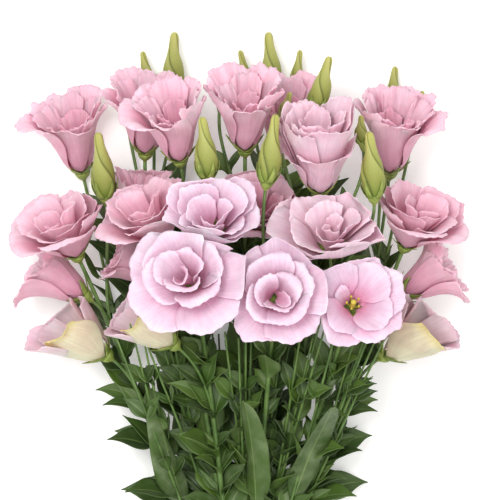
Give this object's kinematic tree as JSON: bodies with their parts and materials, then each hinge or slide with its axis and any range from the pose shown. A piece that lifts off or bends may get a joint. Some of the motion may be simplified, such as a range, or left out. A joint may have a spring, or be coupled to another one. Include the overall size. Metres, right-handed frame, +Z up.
{
  "type": "lisianthus bouquet",
  "caption": "Bouquet of pink ruffled lisianthus with half-open flowers, green buds and leafy stems, tied with a rubber band and lying on its back.",
  "frame": {"origin": "middle of the flat underside of the rubber band, on the surface the bouquet lies on", "axes": "+Z up from the surface, +Y from the cut ends to the flowers, +X to the right seen from above"},
  "size_m": [0.3891, 0.6545, 0.1822],
  "materials": {
    "pink_petals": "satin",
    "pale_petals": "satin",
    "pollen": "matte",
    "bud_green": "satin",
    "leaf_green": "satin",
    "rubber": "matte"
  },
  "bodies": {
    "root": {"flower_top_1": "pink_petals", "flower_top_2": "pink_petals", "flower_top_3": "pink_petals", "flower_top_4": "pink_petals", "flower_top_5": "pink_petals", "flower_top_6": "pink_petals", "flower_top_7": "pink_petals", "flower_back_1": "pink_petals", "flower_back_2": "pink_petals", "flower_middle_1": "pink_petals", "flower_middle_2": "pink_petals", "flower_middle_3": "pink_petals", "flower_middle_4": "pink_petals", "flower_middle_5": "pink_petals", "flower_side_1": "pink_petals", "flower_side_2": "pink_petals", "flower_side_3": "pink_petals", "flower_half_open_1": "pale_petals", "flower_half_open_2": "pale_petals", "flower_half_open_3": "pale_petals", "flower_front_1": "pink_petals", "flower_front_2": "pink_petals", "flower_front_3": "pink_petals", "pistil_front_3": "pollen", "bud_01": "bud_green", "bud_02": "bud_green", "bud_03": "bud_green", "bud_04": "bud_green", "bud_05": "bud_green", "bud_06": "bud_green", "bud_07": "bud_green", "bud_08": "bud_green", "bud_09": "bud_green", "bud_10": "bud_green", "bud_11": "bud_green", "bud_12": "bud_green", "bud_13": "bud_green", "bud_14": "bud_green", "bud_15": "bud_green", "bud_16": "bud_green", "stem_a": "leaf_green", "stem_b": "leaf_green", "stem_c": "leaf_green", "stem_d": "leaf_green", "stem_e": "leaf_green", "stem_f": "leaf_green", "stem_g": "leaf_green", "stem_h": "leaf_green", "stem_i": "leaf_green", "stem_j": "leaf_green", "rubber_band": "rubber"}
  },
  "joints": []
}
